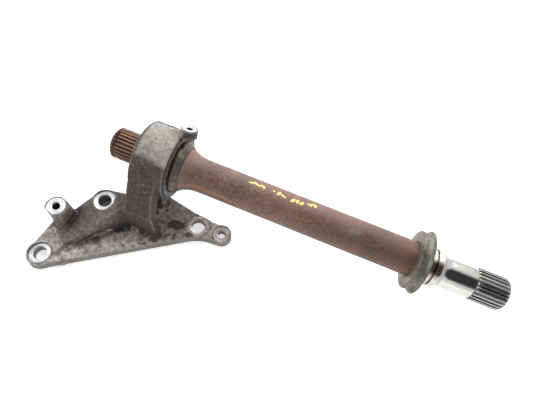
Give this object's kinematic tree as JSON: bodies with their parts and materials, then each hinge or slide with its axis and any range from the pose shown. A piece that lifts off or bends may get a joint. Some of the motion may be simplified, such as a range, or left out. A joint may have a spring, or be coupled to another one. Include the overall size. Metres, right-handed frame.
{
  "type": "intermediate drive shaft with bearing bracket",
  "caption": "Half shaft with splined ends, a dust shield and a polished seal journal, carried in a ball bearing in a cast bolt-on bracket.",
  "frame": {"origin": "on the bracket's flat mounting face, under the bearing housing's mid-plane, 50 mm in front of the shaft's axis and 68 mm below it", "axes": "+X along the shaft towards the polished inboard end, +Z out of the mounting face towards the shaft, +Y towards the side of the plate nearest the shaft"},
  "size_m": [0.498, 0.1918, 0.1159],
  "materials": {
    "cast_aluminium": "rough cast, grimy",
    "black_rubber": "matte",
    "pressed_steel": "satin",
    "bearing_steel": "ground",
    "spring_steel": "phosphated",
    "rusty_forging": "rusted",
    "rusty_tube": "rusted",
    "ground_steel": "polished",
    "zinc_shield": "dull zinc",
    "stained_steel": "stained",
    "cage_polymer": "moulded"
  },
  "bodies": {
    "bracket_body": {"bracket": "cast_aluminium", "bearing_outer_ring": "bearing_steel", "bearing_shield_inboard": "pressed_steel", "bearing_shield_outboard": "pressed_steel", "housing_circlip": "spring_steel", "inboard_seal_case": "pressed_steel", "inboard_seal_lip": "black_rubber", "outboard_seal_case": "pressed_steel", "outboard_seal_lip": "black_rubber"},
    "shaft_body": {"outboard_stub": "rusty_forging", "shaft_tube": "rusty_tube", "inboard_stub": "ground_steel", "dust_shield": "zinc_shield", "slinger_ring": "stained_steel", "bearing_inner_ring": "bearing_steel", "shaft_circlip": "spring_steel", "spline_stop_ring": "spring_steel"},
    "cage_body": {"bearing_cage": "cage_polymer", "ball_01": "bearing_steel", "ball_02": "bearing_steel", "ball_03": "bearing_steel", "ball_04": "bearing_steel", "ball_05": "bearing_steel", "ball_06": "bearing_steel", "ball_07": "bearing_steel", "ball_08": "bearing_steel", "ball_09": "bearing_steel", "ball_10": "bearing_steel", "ball_11": "bearing_steel", "ball_12": "bearing_steel"}
  },
  "joints": [
    {"name": "shaft_spin", "type": "hinge", "parent": "bracket_body", "child": "shaft_body", "pos_m": [0, 0.05, 0.068], "axis": [1, 0, 0], "continuous": true},
    {"name": "cage_orbit", "type": "hinge", "parent": "bracket_body", "child": "cage_body", "pos_m": [0, 0.05, 0.068], "axis": [1, 0, 0], "continuous": true}
  ],
  "couplings": [
    {"joint": "cage_orbit", "follows": "shaft_spin", "ratio": 0.4265}
  ]
}
